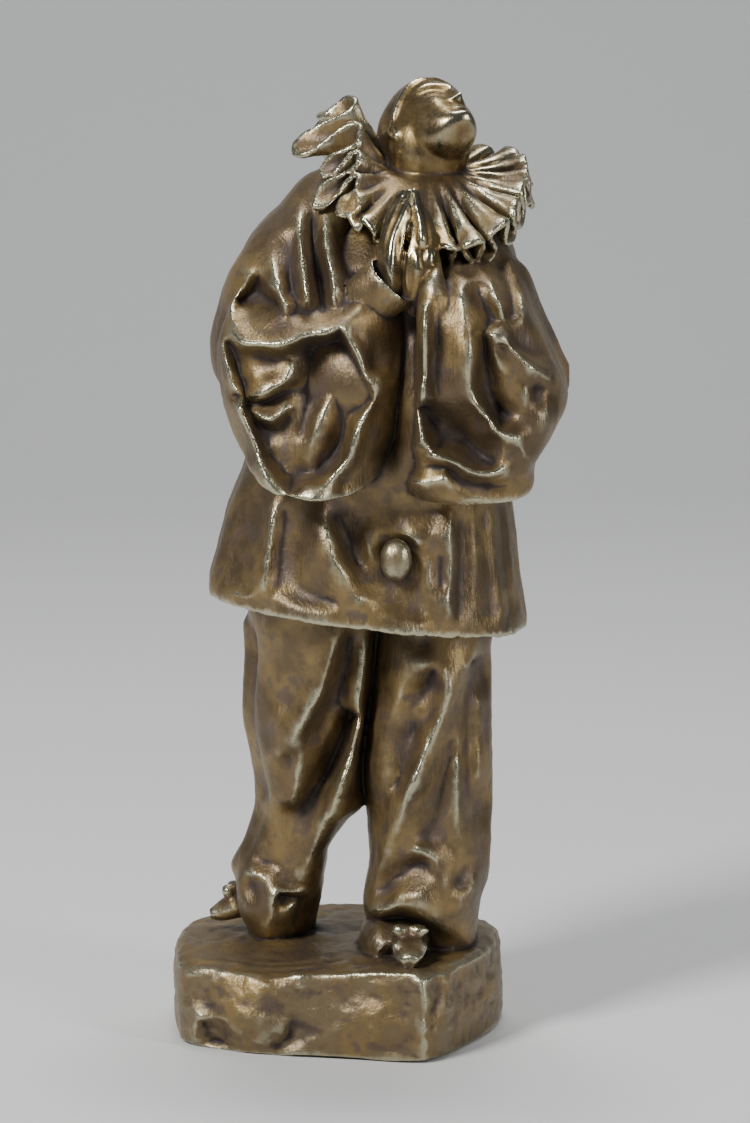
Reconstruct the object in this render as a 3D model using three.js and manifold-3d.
// A cast bronze figure of a white-clad commedia dell'arte clown: he stands on a rough block with his
// head thrown back and his hands joined under his chin, in a pleated ruff, a wide smock with hanging
// sleeves, and loose trousers over bowed shoes. Figure and block are one casting, so they are one solid.
// Millimetres, +Z up, +Y behind the figure, origin at the middle of the block's underside.
import * as THREE from 'three';
import { mergeVertices } from 'three/addons/utils/BufferGeometryUtils.js';
import Module from 'manifold-3d';

// Driving dimensions.
const FIGURE_HEIGHT = 218; // from the block's top to the highest point of the head
const BLOCK_WIDTH = 84;
const BLOCK_DEPTH = 74;
const BLOCK_HEIGHT = 24;
const SOLE_DEPTH = 2; // how far shoes and trouser hems run down into the block
const BRONZE = { color: 0x8a6a3c, roughness: 0.38, metalness: 1 };

// The tables below are drawn for a figure of this height, and scale with FIGURE_HEIGHT.
// Their heights are measured from the block's top.
const DRAWN_HEIGHT = 218;
const DRAWN_SOLE = (SOLE_DEPTH * DRAWN_HEIGHT) / FIGURE_HEIGHT;

const { smoothstep, lerp, clamp } = THREE.MathUtils;
const TURN = 2 * Math.PI;

// The value of one column of a table at a place between its rows, on a Catmull-Rom curve.
function between(rows, place, column) {
  const i = Math.min(Math.floor(place), rows.length - 2);
  const t = place - i;
  const at = (k) => column(rows[clamp(k, 0, rows.length - 1)]);
  const [a, b, c, d] = [at(i - 1), at(i), at(i + 1), at(i + 2)];
  return b + (t / 2) * (c - a + t * (2 * a - 5 * b + 4 * c - d + t * (3 * b - a - 3 * c + d)));
}

// A closed skin of rings from one end to the other, with a point in the middle of each end.
function endedSkin(around, rings, pointAt) {
  const points = [];
  const faces = [];
  for (let i = 0; i <= rings; i++)
    for (let j = 0; j < around; j++) points.push(pointAt(i / rings, j / around));
  for (let i = 0; i < rings; i++)
    for (let j = 0; j < around; j++) {
      const [a, b] = [i * around + j, i * around + ((j + 1) % around)];
      faces.push(a, b, b + around, a, b + around, a + around);
    }
  for (const first of [0, rings * around]) {
    const ring = points.slice(first, first + around);
    const middle = ring.reduce((sum, p) => sum.add(p), new THREE.Vector3()).divideScalar(around);
    for (let j = 0; j < around; j++) {
      const [a, b] = [first + j, first + ((j + 1) % around)];
      faces.push(...(first ? [a, b, points.length] : [b, a, points.length]));
    }
    points.push(middle);
  }
  return meshGeometry(points, faces);
}

// A closed skin that runs round twice, like a ring: round the figure and round its own section.
function ringSkin(around, section, pointAt) {
  const points = [];
  const faces = [];
  for (let i = 0; i < around; i++)
    for (let j = 0; j < section; j++) points.push(pointAt(i / around, j / section));
  for (let i = 0; i < around; i++)
    for (let j = 0; j < section; j++) {
      const [next, up] = [((i + 1) % around) * section, (j + 1) % section];
      const here = i * section;
      faces.push(here + j, next + j, next + up, here + j, next + up, here + up);
    }
  return meshGeometry(points, faces);
}

function meshGeometry(points, faces) {
  return new THREE.BufferGeometry().setFromPoints(points).setIndex(faces);
}

// How far a place lies from a stroke's path, and how far along it, from 0 to 1.
function alongPath(path, x, z) {
  let best = { distance: Infinity, share: 0 };
  for (let i = 0; i + 1 < path.length; i++) {
    const [ax, az] = path[i];
    const [bx, bz] = [path[i + 1][0] - ax, path[i + 1][1] - az];
    const t = clamp(((x - ax) * bx + (z - az) * bz) / (bx * bx + bz * bz), 0, 1);
    const distance = Math.hypot(x - ax - t * bx, z - az - t * bz);
    if (distance < best.distance) best = { distance, share: (i + t) / (path.length - 1) };
  }
  return best;
}

// Folds are strokes of the modelling tool, drawn in the view that a side shows: x and height from the
// front or behind, y and height from the left or right. A ridge has a crest, a hollow a round floor.
// Every fold is cut broader and bolder than its table says, so that the facets carry it.
const FACING = { front: [0, -1], back: [0, 1], left: [-1, 0], right: [1, 0] };
const CARVING = { breadth: 1.3, rise: 1.35 };
function relief(strokes, point, out) {
  let raised = 0;
  for (const { side = 'front', path, wide, high } of strokes) {
    const [fx, fy] = FACING[side];
    const facing = smoothstep(out.x * fx + out.y * fy, 0.1, 0.5);
    if (facing === 0) continue;
    const { distance, share } = alongPath(path, fx === 0 ? point.x : point.y, point.z);
    const near = Math.max(0, 1 - distance / (wide * CARVING.breadth));
    const taper = path.length > 2 ? smoothstep(Math.min(share, 1 - share), -0.06, 0.16) : 1;
    raised += facing * taper * high * (high > 0 ? near ** 1.6 : near * near * (3 - 2 * near));
  }
  return raised * CARVING.rise;
}

// A standing form: level sections from its lowest row to its highest. Each row gives its height z, its
// reach [left, right] in x and [front, behind] in y, how square it is, and how it leans in x and y.
// Its points crowd towards the front, where the carving is finest.
const CROWDING = 0.5;
function standing({ rows, around, rings, pleats = () => 0, strokes = [] }) {
  const column = (name, i, rest) => (row) => {
    if (row[name] === undefined) return rest;
    return i < 0 ? row[name] : row[name][i];
  };
  return endedSkin(around, rings, (v, u) => {
    const place = v * (rows.length - 1);
    const value = (name, i = -1, rest = 0) => between(rows, place, column(name, i, rest));
    const [left, right, front, behind] = [value('x', 0), value('x', 1), value('y', 0), value('y', 1)];
    const square = value('square', -1, 2.2);
    const angle = u * TURN - CROWDING * Math.cos(u * TURN);
    const out = new THREE.Vector2(Math.cos(angle), Math.sin(angle));
    const [rx, ry] = [Math.abs(right - left) / 2, Math.abs(behind - front) / 2];
    const reach = (Math.abs(out.x / rx) ** square + Math.abs(out.y / ry) ** square) ** (-1 / square);
    const height = value('z') + value('lean', 0) * out.x * reach + value('lean', 1) * out.y * reach;
    const surface = (r) =>
      new THREE.Vector3((left + right) / 2 + out.x * r, (front + behind) / 2 + out.y * r, height);
    const plain = surface(reach);
    const depth = pleats(angle, v) + relief(strokes, plain, out);
    return surface(Math.max(reach + depth, reach / 3));
  });
}

// An egg-shaped blob with its three half-axes along x, y and z.
function blob([x, y, z], [rx, ry, rz], around = 10, rings = 8) {
  return endedSkin(around, rings, (v, u) => {
    const [polar, angle] = [Math.PI * lerp(0.08, 0.92, v), u * TURN];
    return new THREE.Vector3(
      x + rx * Math.sin(polar) * Math.cos(angle),
      y + ry * Math.sin(polar) * Math.sin(angle),
      z - rz * Math.cos(polar),
    );
  });
}

// A limb or finger: round sections carried along a path. Each row is [x, y, z, half-width, half-depth].
function limb(rows, around, steps) {
  const at = (place) => new THREE.Vector3(...[0, 1, 2].map((i) => between(rows, place, (row) => row[i])));
  return endedSkin(around, (rows.length - 1) * steps, (v, u) => {
    const place = v * (rows.length - 1);
    const ahead = at(Math.min(place + 0.1, rows.length - 1)).sub(at(Math.max(place - 0.1, 0))).normalize();
    const side = new THREE.Vector3(0, 1, 0).cross(ahead).normalize();
    const front = ahead.clone().cross(side);
    const [wide, deep] = [3, 4].map((i) => between(rows, place, (row) => row[i]));
    return at(place)
      .addScaledVector(side, wide * Math.cos(u * TURN))
      .addScaledVector(front, deep * Math.sin(u * TURN));
  });
}

// The rough block: an uneven outline, as shares of the half-width and half-depth, and the share of the
// full height that its upper edge keeps at each place.
const BLOCK_OUTLINE = [
  [1, -0.02, 1], [0.99, 0.42, 1], [0.72, 0.86, 0.97], [0.2, 1, 0.98], [-0.42, 0.97, 1], [-0.86, 0.72, 0.97],
  [-1, 0.3, 0.97], [-1, -0.24, 0.93], [-0.9, -0.56, 0.86], [-0.5, -0.8, 0.84], [-0.05, -0.88, 0.9],
  [0.42, -1, 0.98], [0.6, -0.92, 0.97], [0.84, -0.5, 1],
];
const BLOCK_PROFILE = [[0, 0.97], [0.04, 0.99], [0.4, 1], [0.72, 0.985], [0.93, 0.965], [1, 0.92], [1, 0.8]];
const BOULDER = { place: 0.58, spread: 0.045, height: 0.35, swell: 0.07 };
function block() {
  const last = BLOCK_OUTLINE.length;
  const rows = [last - 1, ...BLOCK_OUTLINE.keys(), 0, 1].map((i) => BLOCK_OUTLINE[i]);
  return endedSkin(36, BLOCK_PROFILE.length - 1, (v, u) => {
    const [height, share] = BLOCK_PROFILE[Math.round(v * (BLOCK_PROFILE.length - 1))];
    const [x, y, top] = [0, 1, 2].map((i) => between(rows, 1 + u * last, (row) => row[i]));
    const knocks = 0.012 * Math.sin(7 * u * TURN + 9 * height) * Math.sin(Math.PI * height);
    const near = ((u - BOULDER.place) / BOULDER.spread) ** 2 + ((height - BOULDER.height) / 0.35) ** 2;
    const wide = share + knocks + BOULDER.swell * Math.exp(-near) * smoothstep(height, 0, 0.04);
    return new THREE.Vector3(
      (BLOCK_WIDTH / 2) * x * wide,
      (BLOCK_DEPTH / 2) * y * wide,
      BLOCK_HEIGHT * height * lerp(1, top, height * share),
    );
  });
}

const fold = (path, wide, high, side) => ({ path, wide, high, side });

function trouserLegs() {
  const right = standing({
    around: 20,
    rings: 14,
    rows: [
      { z: -DRAWN_SOLE, x: [-22, -6], y: [-4, 16] },
      { z: 2, x: [-24, -5.5], y: [-6, 17] },
      { z: 7, x: [-25.8, -4.6], y: [-7, 17] },
      { z: 13, x: [-26, -3.8], y: [-7, 17] },
      { z: 18, x: [-24.6, -3.2], y: [-7, 16.5] },
      { z: 24, x: [-21.6, -2], y: [-7.5, 16] },
      { z: 31, x: [-19.4, 3], y: [-9, 17] },
      { z: 35, x: [-19.2, 8], y: [-10.5, 17.4] },
      { z: 42, x: [-19.8, 9.4], y: [-13, 18] },
      { z: 57, x: [-22.4, 10], y: [-16, 19] },
      { z: 74, x: [-21.5, 11.5], y: [-18, 20] },
      { z: 92, x: [-23, 13], y: [-19, 20] },
      { z: 100, x: [-20, 13], y: [-18, 19] },
    ],
    strokes: [
      fold([[0, 86], [-3, 71], [-6, 61], [-11, 53], [-16, 47], [-18, 38]], 6, 2.6),
      fold([[9, 80], [6, 60], [2, 47], [-3, 37], [-7, 26], [-9, 14]], 5, 2.2),
      fold([[5, 82], [1, 62], [-5, 46], [-11, 34], [-17, 24]], 5, -2.6),
      fold([[-10, 84], [-14, 66], [-17, 52]], 6, -1),
      fold([[6, 84], [2, 60], [6, 36], [8, 12]], 5, 2, 'left'),
      fold([[-8, 80], [-4, 50], [-6, 26]], 5, -1.8, 'left'),
      fold([[-16, 84], [-12, 60], [-14, 34], [-10, 10]], 6, 2, 'back'),
      fold([[-4, 84], [-4, 56], [-8, 30]], 5, -2, 'back'),
    ],
  });
  const left = standing({
    around: 20,
    rings: 12,
    rows: [
      { z: -DRAWN_SOLE, x: [8.6, 35], y: [-18.4, 11], square: 2.6 },
      { z: 3, x: [7.8, 35.5], y: [-19.2, 12], square: 2.6 },
      { z: 8, x: [6.6, 36], y: [-21.5, 13] },
      { z: 13, x: [6.6, 36.5], y: [-23.5, 13] },
      { z: 21, x: [8, 37.2], y: [-23, 12] },
      { z: 30, x: [7.6, 37.6], y: [-22, 13] },
      { z: 45, x: [6.5, 37.8], y: [-22, 15] },
      { z: 61, x: [8, 37.5], y: [-21, 17] },
      { z: 76, x: [9.5, 37.7], y: [-21, 19] },
      { z: 92, x: [9, 39], y: [-21, 19] },
      { z: 100, x: [9, 37], y: [-20, 18] },
    ],
    strokes: [
      fold([[30, 78], [27, 68], [25, 58], [21, 51], [17, 43], [14, 32], [10, 19], [8, 10]], 6, 3),
      fold([[18, 80], [18, 72], [14, 63], [13, 56]], 4, 2),
      fold([[25, 72], [19, 64], [17, 54]], 6, -2.6),
      fold([[32, 62], [31, 44], [24, 30]], 5, -1.4),
      fold([[20, 22], [24, 20]], 6, -2.4),
      fold([[36, 26], [33, 14], [29, 9]], 4, 2),
      fold([[-6, 84], [-2, 50], [-4, 20]], 6, 2, 'right'),
      fold([[6, 84], [6, 56], [2, 24]], 5, -2.2, 'right'),
      fold([[24, 84], [26, 56], [20, 28]], 6, 2, 'back'),
      fold([[16, 84], [18, 50], [28, 20]], 5, -1.8, 'back'),
    ],
  });
  return [right, left];
}

// The shoes point left and towards the front. The left one's wide upper shows under the trouser hem.
const SHOES = [
  [
    [-6, 8, 3.4, 4, 4], [-15, 8, 5, 4.6, 6], [-22, 8, 6, 3.8, 6.4], [-26, 8, 5.6, 3.2, 5.4],
    [-28.4, 8, 4.6, 2.8, 4], [-30.6, 8, 3.6, 2.3, 2.8], [-32.9, 8, 3.2, 1.2, 1.5],
  ],
  [
    [20, 2, 4, 6, 4.6], [18.4, -10, 3.6, 6.8, 5], [17.8, -18, 3.2, 5.2, 4.2], [17.9, -24, 2.6, 4, 3.4],
    [18.1, -29.4, 1.6, 3.6, 2.4], [18.2, -32.4, 1, 1.8, 1.3],
  ],
  [
    [14.6, -4, 0.5, 7.6, 9], [13.4, -12, 0.6, 7.4, 8], [13.2, -17, 0.5, 6.4, 6.5],
    [14.2, -20.8, -0.4, 3.6, 4.2],
  ],
];
// Each shoe has a bow over its instep, of lobes given by middle and half-size.
const BOW_LOBES = [
  [[-28.2, 6.6, 9.4], [1.9, 2, 2]],
  [[-25.2, 6.4, 10.8], [2, 2, 2]],
  [[-27, 9.6, 9.6], [1.8, 2.3, 1.8]],
  [[16.1, -23.6, 6.6], [2.3, 1.8, 1.6]],
  [[20.1, -23.6, 6.6], [2.3, 1.8, 1.6]],
  [[18.2, -25.2, 4.9], [2.6, 1.4, 1]],
  [[16.1, -27.4, 3.4], [2.4, 1.9, 1.8]],
  [[20.2, -27.4, 3.4], [2.4, 1.9, 1.8]],
];
function shoes() {
  const bows = BOW_LOBES.map(([place, half]) => blob(place, half, 6, 3));
  return [...SHOES.map((rows) => limb(rows, 12, 1)), ...bows];
}

// The smock flares to a thick hem, lower on the figure's left. It closes up under the ruff.
const BUTTON = [14.6, -29.2, 102];
function smock() {
  const body = standing({
    around: 32,
    rings: 13,
    rows: [
      { z: 92, x: [-12, 28], y: [-14, 14], lean: [-0.1, 0] },
      { z: 88.4, x: [-29, 43], y: [-27, 26.5], lean: [-0.12, 0] },
      { z: 85.4, x: [-32, 46], y: [-30, 29], lean: [-0.12, 0] },
      { z: 87.2, x: [-32.6, 46.8], y: [-31, 29.6], lean: [-0.12, 0] },
      { z: 93, x: [-31.6, 46], y: [-30.2, 29], lean: [-0.1, 0] },
      { z: 110, x: [-27.4, 43.8], y: [-28, 27.5], lean: [-0.05, 0] },
      { z: 124, x: [-23, 42], y: [-26.5, 26] },
      { z: 142, x: [-21, 40], y: [-25.5, 25] },
      { z: 160, x: [-18, 41], y: [-23.5, 24] },
      { z: 172, x: [-13, 42], y: [-21.5, 22] },
      { z: 180, x: [-6, 39], y: [-16, 19] },
      { z: 188, x: [4, 35], y: [-10, 14] },
      { z: 194, x: [13, 31], y: [-5, 8] },
    ],
    pleats: (angle, v) =>
      1.5 * Math.sin(9 * angle + 0.6) * smoothstep(Math.sin(angle), -0.35, 0.2) * (1 - v),
    strokes: [
      fold([[-14, 122], [-16.5, 107], [-17, 98], [-18, 90]], 7, 3),
      fold([[-2, 112], [1, 103], [4, 95], [6, 89]], 6, 2.2),
      fold([[28, 118], [28.6, 102], [28, 94], [25, 88]], 6, 2.6),
      fold([[22, 108], [22, 98], [24, 90]], 4, 1.2),
      fold([[36, 118], [37, 102], [37, 84]], 4, -1.6),
      fold([[-25, 118], [-26, 104], [-27, 92]], 5, -1.8),
      fold([[10, 116], [13, 108]], 8, -1.6),
      fold([[12.5, 164], [12.5, 146], [12, 136]], 3, 2.4),
      fold([[16, 160], [17, 140], [17, 124]], 2.5, 2),
    ],
  });
  return [body, blob(BUTTON, [3.7, 3.6, 5.1], 12, 6)];
}

// Both sleeves hang in a wide bag below the raised forearms.
function sleeves() {
  const right = standing({
    around: 30,
    rings: 17,
    rows: [
      { z: 120.4, x: [-14, -4], y: [-35, -25], lean: [0, 0.1] },
      { z: 123, x: [-19.5, 8], y: [-37.6, -12], lean: [-0.05, 0.3] },
      { z: 131, x: [-25.3, 14], y: [-38, 0], lean: [-0.1, 0.25] },
      { z: 141, x: [-28.7, 17.6], y: [-37.6, 12], lean: [-0.05, 0.12], square: 2.6 },
      { z: 153, x: [-30.4, 18.4], y: [-36.6, 18], square: 2.8 },
      { z: 163, x: [-28.3, 18.6], y: [-34, 19], square: 2.6 },
      { z: 169, x: [-26.4, 16.4], y: [-30.4, 19] },
      { z: 175, x: [-24, 10], y: [-25.4, 19] },
      { z: 181, x: [-20.4, 6], y: [-20, 17] },
      { z: 187, x: [-14.5, 8], y: [-14.6, 15] },
      { z: 194, x: [-8, 10], y: [-8, 11] },
      { z: 197, x: [0, 8], y: [-3, 5] },
    ],
    strokes: [
      fold([[-28.5, 156], [-26, 150], [-22, 138], [-19, 132], [-15, 125], [-11.5, 121]], 5, 2.6),
      fold([[-11.5, 121], [-6, 123], [-1, 124], [3, 129], [7, 139], [9, 146]], 4, 2.4),
      fold([[0.5, 161], [3.5, 156], [6, 150], [8, 145]], 4, 3),
      fold([[-26, 167], [-24, 160], [-21, 156], [-15, 156.5], [-10, 156], [-1, 159]], 4.5, 3.2),
      fold([[-19, 178], [-18, 171], [-12, 164]], 3.5, 2.2),
      fold([[-14, 152], [-7, 136]], 13, -6.5),
      fold([[-2, 152], [-2, 142]], 7, -3),
      fold([[-19, 166.5], [-16, 166.5]], 5, -4),
      fold([[1, 174], [2, 170]], 8, -4),
      fold([[-6, 178], [-5, 170], [-3.5, 164]], 2.5, -3),
      fold([[-14, 150], [-12, 146], [-20, 142]], 3, 2),
      fold([[2, 149], [-3, 141], [-5, 133]], 3, 2.4),
      fold([[-8, 176], [-6, 158], [-4, 140]], 6, 1.2, 'left'),
      fold([[4, 182], [6, 160], [0, 144]], 5, -2.4, 'left'),
      fold([[-12, 186], [-18, 168], [-20, 150]], 6, 2, 'back'),
      fold([[-6, 184], [-8, 164], [-12, 146]], 5, -2, 'back'),
    ],
  });
  const left = standing({
    around: 28,
    rings: 15,
    rows: [
      { z: 118.4, x: [25, 45], y: [-31, -19], lean: [0.05, 0.15] },
      { z: 121, x: [18.6, 48.6], y: [-37, -10], lean: [0.02, 0.3], square: 2.8 },
      { z: 127, x: [17.8, 50], y: [-39.2, -2], lean: [0.05, 0.25], square: 3.2 },
      { z: 133, x: [17.6, 53], y: [-39.6, 6], lean: [0.05, 0.2], square: 3 },
      { z: 141, x: [17.6, 57.4], y: [-38.6, 14], lean: [0.05, 0.1], square: 2.8 },
      { z: 153, x: [18, 53.6], y: [-37.6, 18], square: 2.8 },
      { z: 164, x: [18.8, 48.4], y: [-35, 19], square: 2.8 },
      { z: 170, x: [20.6, 46.2], y: [-30.6, 18.6] },
      { z: 176, x: [22, 43.8], y: [-23, 17] },
      { z: 183, x: [24, 40.8], y: [-15, 14] },
      { z: 188, x: [26, 37], y: [-10, 10] },
    ],
    strokes: [
      fold([[21, 170], [20.4, 164], [20, 154], [19.4, 145], [19, 138], [20, 131]], 3.4, 2.6),
      fold([[20, 131], [25, 130], [30, 128], [35, 126], [41, 126]], 4, 4.6),
      fold([[27, 175], [31, 167], [34, 157], [33.6, 146], [38, 138], [41, 133], [41, 126]], 4.5, 3),
      fold([[38, 137], [44, 133], [47, 129], [48, 123]], 4, 2.2),
      fold([[45, 151], [50, 149], [56, 147]], 3.5, 2),
      fold([[43, 152], [44, 141]], 8, -5.5),
      fold([[27, 138], [35, 133]], 7, -5),
      fold([[26, 160], [26, 148]], 6, -1.4),
      fold([[37, 164], [40, 156]], 5, -2.6),
      fold([[36.5, 158], [39, 152], [40, 146]], 2.5, 2.2),
      fold([[44, 150], [45.5, 143], [44, 136]], 2.5, 2.4),
      fold([[40, 178], [44, 168], [45, 160]], 3.5, 2.2),
      fold([[-8, 176], [-10, 160], [-6, 142]], 6, 2.4, 'right'),
      fold([[4, 178], [4, 160], [-2, 142]], 5, -2.4, 'right'),
      fold([[40, 182], [46, 166], [48, 148]], 6, 2, 'back'),
      fold([[34, 180], [40, 160], [42, 146]], 5, -2, 'back'),
    ],
  });
  return [right, left];
}

// The joined hands rise from the cuffs, palm to palm. The left sleeve wraps its wrist; the right cuff
// is an open band.
const HANDS = [
  [
    [14.2, -27, 163, 2.2, 2.4], [13.6, -29.4, 170, 3, 2.8], [13.4, -29.8, 175.6, 3.1, 2.9],
    [13.9, -29.2, 181, 2.6, 2.4], [15.4, -27.8, 186.4, 1.7, 1.8], [17.4, -25.4, 192.6, 0.6, 0.9],
  ],
  [
    [19.6, -26.5, 163, 2.4, 2.4], [20.6, -29.4, 171, 3.3, 3], [21, -29.6, 177, 3.4, 3],
    [21.1, -28.8, 182, 2.7, 2.5], [20.3, -27.4, 187, 1.6, 1.8], [19.3, -25.2, 192.8, 0.6, 0.9],
  ],
];
const LEFT_WRIST = [
  [24.5, -27.4, 176.4, 0.6, 1], [24.1, -30, 173, 2, 2.6], [23.8, -32.4, 169, 3.5, 4.2],
  [24.6, -33, 164.2, 4.8, 5], [25.3, -31, 156, 6, 6],
];
const RIGHT_CUFF = {
  centre: new THREE.Vector3(13.9, -29.2, 171.2),
  long: new THREE.Vector3(4.5, -0.6, -5.2),
  deep: new THREE.Vector3(1.2, 5, 0.8),
  profile: [[-14, 0.7], [-7, 1], [-3, 1.04], [0, 1], [-0.4, 0.84], [-1.4, 0.7]],
};
function hands() {
  const { centre, long, deep, profile } = RIGHT_CUFF;
  const axis = long.clone().cross(deep).normalize();
  const cuff = endedSkin(14, profile.length - 1, (v, u) => {
    const [step, share] = profile[Math.round(v * (profile.length - 1))];
    return centre
      .clone()
      .addScaledVector(axis, step)
      .addScaledVector(long, share * Math.cos(u * TURN))
      .addScaledVector(deep, share * Math.sin(u * TURN));
  });
  return [...HANDS.map((rows) => limb(rows, 10, 1)), limb(LEFT_WRIST, 12, 1), cuff];
}

// The ruff: a pleated collar that falls in front, lies level on the figure's left, and stands up behind
// and over the right shoulder. Its edge is given round the neck, from the figure's left to behind, as
// [x, y, z] from the middle of the neck's foot.
// After these come how deep the frills run back there, how late they begin, how much they flare outwards
// and how much they hang.
const NECK_FOOT = new THREE.Vector3(22, -3, 195);
const RUFF_EDGE = [
  [25.5, -1, 0.4, 8, 1.7, 0.1, 0], [24, 9, 4.7, 8, 1.8, 0.1, 0], [19.6, 17, 5.1, 8, 1.8, 0.2, 0],
  [13.6, 22.5, 5.4, 6, 1.8, 0.2, 0], [4.1, 27.5, 3.2, 6, 1.8, 0.2, 0], [-3.6, 28.5, 0.6, 6, 1.8, 0.2, 0],
  [-12.6, 25.5, 4, 8, 1.8, 0.4, 0.1], [-19, 18, 14, 13, 2.1, 0.8, 0.4], [-19, 10, 19, 16, 2.1, 0.85, 0.55],
  [-17, 4, 16, 16, 2.1, 0.85, 0.55], [-16.4, -2, 10, 13, 2.1, 0.85, 0.55],
  [-16.6, -8, 4.4, 12, 2.1, 0.8, 0.5], [-17, -13, -1, 9, 2.1, 0.75, 0.5],
  [-17, -17.6, -5.6, 7, 2, 0.6, 0.4], [-15.4, -21, -10, 5, 1.9, 0.3, 0.3],
  [-12.4, -23.5, -13, 3.4, 1.8, 0.1, 0], [-7.6, -25, -14, 2.4, 1.6, 0, 0],
  [-1.5, -25, -15.3, 2.4, 1.6, 0, 0], [3.4, -25.6, -16.4, 4.6, 1.5, 0, 0],
  [9, -26.5, -16, 7, 1.5, 0, 0], [13.9, -25, -14.2, 9, 1.5, 0, 0],
  [17.8, -22, -11.6, 10, 1.5, 0, 0], [21, -18, -9.3, 9, 1.5, 0, 0], [22.8, -13, -5.1, 8.5, 1.5, 0.05, 0],
  [24.2, -7.5, -2.1, 8, 1.6, 0.1, 0],
];
const RUFF = { pleats: 22, neck: 7.8, sheet: 2.2, loop: 1, perPleat: 5 };
function ruff() {
  const rows = [RUFF_EDGE.length - 1, ...RUFF_EDGE.keys(), 0, 1].map((i) => RUFF_EDGE[i]);
  const value = (u, i) => between(rows, 1 + (((u % 1) + 1) % 1) * RUFF_EDGE.length, (row) => row[i]);
  const rimAt = (u) => new THREE.Vector3(value(u, 0), value(u, 1), value(u, 2));
  const middle = (u, share) => {
    const rim = rimAt(u);
    const along = rimAt(u + 0.012).sub(rimAt(u - 0.012)).normalize();
    const level = new THREE.Vector3(rim.x, rim.y, 0).normalize();
    const neck = level.clone().multiplyScalar(RUFF.neck);
    const out = rim.clone().sub(neck);
    const up = out.clone().cross(along).normalize();
    const [depth, late, flare, hang] = [value(u, 3), value(u, 4), value(u, 5), value(u, 6)];
    const back = level.multiplyScalar(flare).addScaledVector(up, flare - 1);
    back.setZ(back.z - hang).normalize();
    const phase = RUFF.pleats * u * TURN;
    const frill = depth * share ** late * ((1 - Math.cos(phase)) / 2) ** 1.15;
    const curl = RUFF.loop * Math.min(depth / 6, 1) * share ** 2.5 * Math.sin(2 * phase);
    return neck
      .addScaledVector(out, share)
      .addScaledVector(back, frill)
      .addScaledVector(up, -0.8 * Math.sin(Math.PI * share))
      .addScaledVector(along, curl);
  };
  const loop = [[0.08, -1], [0.55, -1], [0.98, -1], [0.98, 1], [0.55, 1], [0.08, 1]];
  return ringSkin(RUFF.pleats * RUFF.perPleat, loop.length, (u, w) => {
    const [share, face] = loop[Math.round(w * loop.length) % loop.length];
    const outward = middle(u, share + 0.02).sub(middle(u, share - 0.02));
    const onward = middle(u + 0.002, share).sub(middle(u - 0.002, share));
    const normal = outward.cross(onward).normalize();
    return middle(u, share).addScaledVector(normal, (RUFF.sheet / 2) * face).add(NECK_FOOT);
  });
}

// The head, in a close skullcap, is thrown back and turned to the figure's left. It is drawn in its own
// frame: across to the figure's right, forward out of the face, and up to the crown, as shares of its
// half height. Each section is [up, half-width, front, back]. The face is a plain, calm one.
const HEAD = {
  centre: new THREE.Vector3(23.3, -0.6, 205.5),
  forward: new THREE.Vector3(0.45, -0.14, 0.882).normalize(),
  crown: new THREE.Vector3(-0.3, 0.905, 0.297),
  size: 14.9,
  drawn: 13,
};
const SECTIONS = [
  [-1, 0.04, 0.42, -0.34], [-0.985, 0.17, 0.57, -0.22], [-0.95, 0.26, 0.65, -0.08],
  [-0.88, 0.34, 0.69, 0.06], [-0.74, 0.43, 0.7, 0.22], [-0.58, 0.5, 0.71, 0.4], [-0.4, 0.56, 0.71, 0.58],
  [-0.2, 0.615, 0.72, 0.74], [0, 0.655, 0.735, 0.85], [0.22, 0.68, 0.79, 0.9], [0.45, 0.67, 0.77, 0.88],
  [0.66, 0.595, 0.66, 0.79], [0.82, 0.47, 0.5, 0.63], [0.93, 0.31, 0.33, 0.42], [0.985, 0.15, 0.16, 0.2],
  [1, 0.03, 0.03, 0.04],
];
function headFrame() {
  const across = HEAD.forward.clone().cross(HEAD.crown).normalize();
  const up = across.clone().cross(HEAD.forward).normalize();
  const scale = HEAD.size / HEAD.drawn;
  return (a, f, u) =>
    HEAD.centre
      .clone()
      .addScaledVector(across, a * scale)
      .addScaledVector(HEAD.forward, f * scale)
      .addScaledVector(up, u * scale);
}
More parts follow.
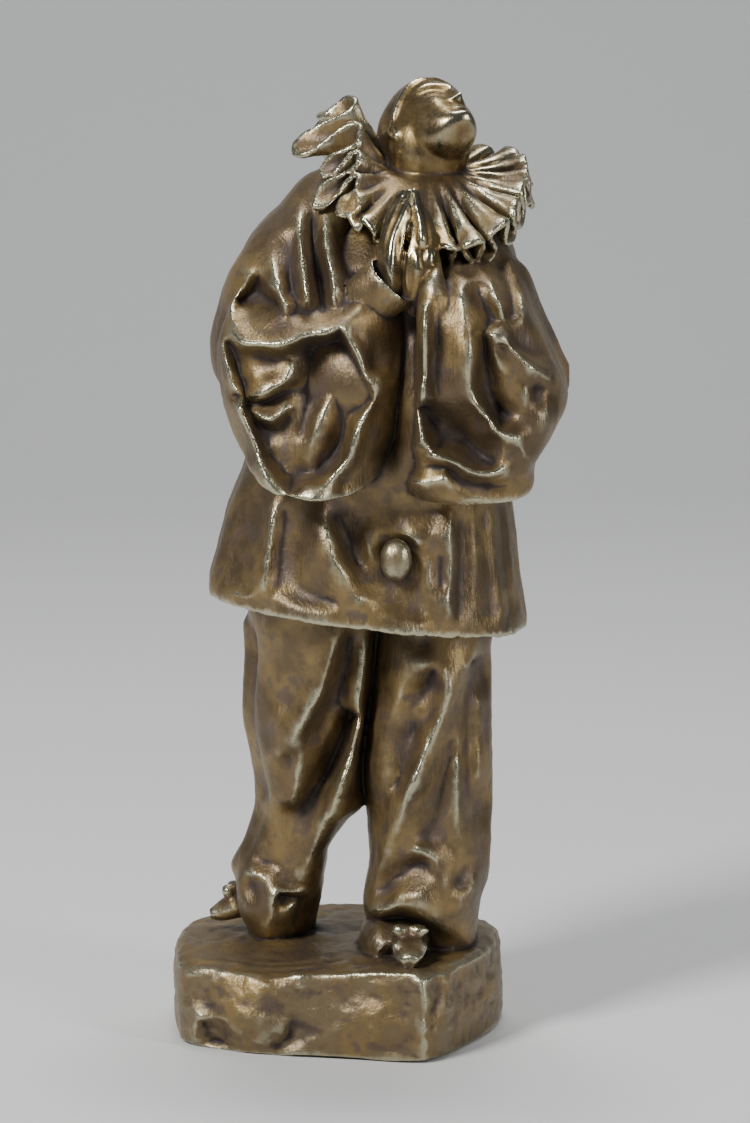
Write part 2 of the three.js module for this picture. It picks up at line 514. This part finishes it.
// Bumps of the face: [across, up, half-width across, half-height, height]. Paired ones are on both sides.
const FACE = [
  [0, 2.5, 6.6, 1.4, 0.5], [3.9, 0.6, 2.4, 1.6, -1.35], [-3.9, 0.6, 2.4, 1.6, -1.35],
  [3.9, 0.2, 1.75, 0.95, 1], [-3.9, 0.2, 1.75, 0.95, 1], [0, 0.6, 0.9, 2.2, 1],
  [0, -2.2, 0.95, 2.2, 1.6], [0, -4.3, 1.6, 1.2, 1.9],
  [0, -7.6, 2.2, 1.2, 0.8], [0, -11.3, 2.4, 1.5, 1],
];
function head() {
  const place = headFrame();
  const skull = endedSkin(22, 15, (v, u) => {
    const row = v * (SECTIONS.length - 1);
    const [height, wide, front, back] = [0, 1, 2, 3].map((i) => between(SECTIONS, row, (one) => one[i]));
    const [cos, sin] = [Math.cos(u * TURN), Math.sin(u * TURN)];
    const half = (front + back) / 2;
    const reach = (Math.abs(cos / wide) ** 2.2 + Math.abs(sin / half) ** 2.2) ** (-1 / 2.2);
    const [across, up] = [cos * reach * HEAD.drawn, height * HEAD.drawn];
    const bumps = FACE.reduce((sum, [ba, bu, broad, tall, high]) =>
      sum + high * Math.exp(-(((across - ba) / broad) ** 2) - ((up - bu) / tall) ** 2), 0);
    const forward = ((front - back) / 2 + sin * reach) * HEAD.drawn + smoothstep(sin, 0.1, 0.6) * bumps;
    const cap = 0.5 * smoothstep(up - 0.4 - 0.62 * forward, -0.25, 0.25);
    const swell = 1 + cap / Math.hypot(across, forward, up);
    return place(across * swell, forward * swell, up * swell);
  });
  const ears = [1, -1].map((side) => {
    const { x, y, z } = place(side * 8.6, -2.6, -1.8);
    return blob([x, y, z], [1.7, 2.6, 2], 7, 4);
  });
  const throat = limb([
    [21.6, 0, 186, 9.2, 8.4], [21.8, -1.6, 192, 9, 8.6], [22.2, -2.4, 197, 9.4, 9],
    [22.8, -2.6, 201, 10.4, 9.4], [23.4, -2, 205, 10.2, 8.6], [24, -1, 208, 7, 6],
  ], 14, 1);
  return [skull, throat, ...ears];
}

const wasm = await Module();
wasm.setup();

// A closed geometry as a solid, scaled from the drawn figure and stood at a height.
function solid(geometry, scale, height) {
  const merged = mergeVertices(geometry.scale(scale, scale, scale).translate(0, 0, height), 1e-4);
  return new wasm.Manifold(
    new wasm.Mesh({
      numProp: 3,
      vertProperties: new Float32Array(merged.attributes.position.array),
      triVerts: new Uint32Array(merged.index.array),
    }),
  );
}

function casting() {
  const scale = FIGURE_HEIGHT / DRAWN_HEIGHT;
  const figure = [...trouserLegs(), ...shoes(), ...smock(), ...sleeves(), ...hands(), ruff(), ...head()];
  const base = solid(block(), 1, 0);
  const joined = figure.reduce((whole, form) => whole.add(solid(form, scale, BLOCK_HEIGHT)), base);
  const { vertProperties, triVerts, numProp } = joined.getMesh();
  const position = new THREE.BufferAttribute(new Float32Array(vertProperties), numProp);
  return new THREE.BufferGeometry().setAttribute('position', position).setIndex([...triVerts]);
}

const figure = new THREE.Mesh(casting(), new THREE.MeshStandardMaterial(BRONZE));
figure.name = 'bronze_figure';
const part = new THREE.Group();
part.add(figure);

export default part;
